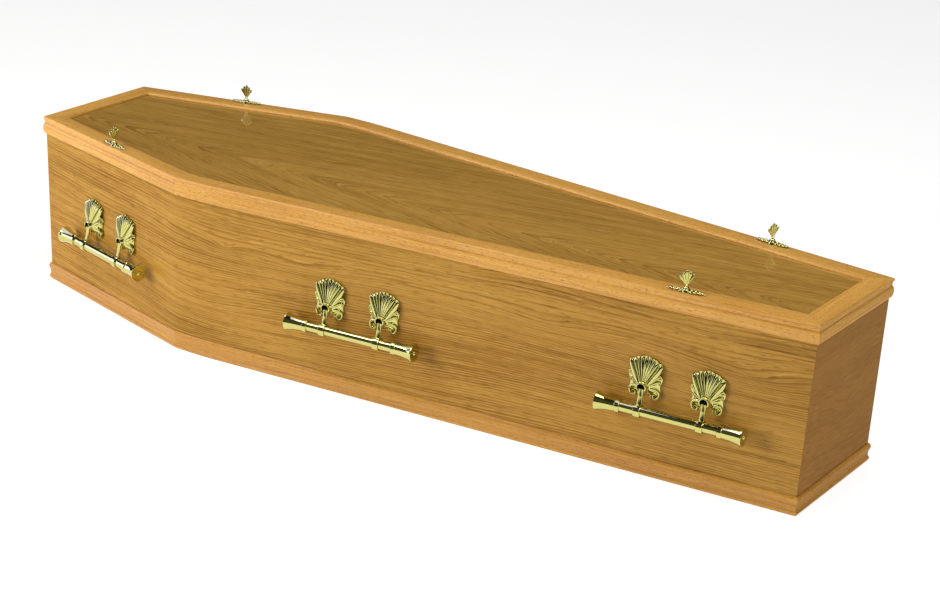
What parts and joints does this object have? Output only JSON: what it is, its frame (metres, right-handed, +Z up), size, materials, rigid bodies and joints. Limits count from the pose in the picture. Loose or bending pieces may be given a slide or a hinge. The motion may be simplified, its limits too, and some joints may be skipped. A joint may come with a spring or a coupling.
{
  "type": "coffin",
  "caption": "Shouldered wooden coffin with a lift-off lid, mitred mouldings, swing-bar handles and lid thumbscrews.",
  "frame": {"origin": "on the floor, at the middle of the coffin's plan", "axes": "+X from the head end to the foot end, +Y to the left of someone lying inside, +Z up"},
  "size_m": [1.9622, 0.6374, 0.4383],
  "materials": {
    "oak_veneer": "gloss lacquer",
    "oak_moulding": "gloss lacquer",
    "oak_panel": "gloss lacquer",
    "brass": "polished"
  },
  "bodies": {
    "coffin": {"base_board": "oak_veneer", "side_board_left": "oak_veneer", "side_board_right": "oak_veneer", "head_board": "oak_veneer", "foot_board": "oak_veneer", "base_moulding_head": "oak_moulding", "base_moulding_foot": "oak_moulding", "base_moulding_left_head": "oak_moulding", "base_moulding_left_foot": "oak_moulding", "base_moulding_right_head": "oak_moulding", "base_moulding_right_foot": "oak_moulding", "lid_moulding_head": "oak_moulding", "lid_moulding_foot": "oak_moulding", "lid_moulding_left_head": "oak_moulding", "lid_moulding_left_foot": "oak_moulding", "lid_moulding_right_head": "oak_moulding", "lid_moulding_right_foot": "oak_moulding", "lid_panel": "oak_panel", "handle_plate_right_head_1": "brass", "handle_plate_right_head_2": "brass", "handle_plate_right_middle_1": "brass", "handle_plate_right_middle_2": "brass", "handle_plate_right_foot_1": "brass", "handle_plate_right_foot_2": "brass", "handle_plate_left_head_1": "brass", "handle_plate_left_head_2": "brass", "handle_plate_left_middle_1": "brass", "handle_plate_left_middle_2": "brass", "handle_plate_left_foot_1": "brass", "handle_plate_left_foot_2": "brass", "thumbscrew_head_right": "brass", "thumbscrew_head_left": "brass", "thumbscrew_foot_right": "brass", "thumbscrew_foot_left": "brass", "wreath_plate_head_right": "brass", "wreath_plate_head_left": "brass", "wreath_plate_foot_right": "brass", "wreath_plate_foot_left": "brass"},
    "handle_right_head": {"handle_arm_right_head_1": "brass", "handle_arm_right_head_2": "brass", "handle_bar_right_head": "brass"},
    "handle_right_middle": {"handle_arm_right_middle_1": "brass", "handle_arm_right_middle_2": "brass", "handle_bar_right_middle": "brass"},
    "handle_right_foot": {"handle_arm_right_foot_1": "brass", "handle_arm_right_foot_2": "brass", "handle_bar_right_foot": "brass"},
    "handle_left_head": {"handle_arm_left_head_1": "brass", "handle_arm_left_head_2": "brass", "handle_bar_left_head": "brass"},
    "handle_left_middle": {"handle_arm_left_middle_1": "brass", "handle_arm_left_middle_2": "brass", "handle_bar_left_middle": "brass"},
    "handle_left_foot": {"handle_arm_left_foot_1": "brass", "handle_arm_left_foot_2": "brass", "handle_bar_left_foot": "brass"}
  },
  "joints": [
    {"name": "handle_right_head_swing", "type": "hinge", "parent": "coffin", "child": "handle_right_head", "pos_m": [-0.71761, -0.25026, 0.191], "axis": [-0.9685, 0.2489, 0], "range_deg": [0, 90]},
    {"name": "handle_right_middle_swing", "type": "hinge", "parent": "coffin", "child": "handle_right_middle", "pos_m": [0.00015, -0.27504, 0.191], "axis": [-0.9947, -0.1025, 0], "range_deg": [0, 90]},
    {"name": "handle_right_foot_swing", "type": "hinge", "parent": "coffin", "child": "handle_right_foot", "pos_m": [0.7114, -0.20176, 0.191], "axis": [-0.9947, -0.1025, 0], "range_deg": [0, 90]},
    {"name": "handle_left_head_swing", "type": "hinge", "parent": "coffin", "child": "handle_left_head", "pos_m": [-0.71761, 0.25026, 0.191], "axis": [0.9685, 0.2489, 0], "range_deg": [0, 90]},
    {"name": "handle_left_middle_swing", "type": "hinge", "parent": "coffin", "child": "handle_left_middle", "pos_m": [0.00015, 0.27504, 0.191], "axis": [0.9947, -0.1025, 0], "range_deg": [0, 90]},
    {"name": "handle_left_foot_swing", "type": "hinge", "parent": "coffin", "child": "handle_left_foot", "pos_m": [0.7114, 0.20176, 0.191], "axis": [0.9947, -0.1025, 0], "range_deg": [0, 90]}
  ]
}
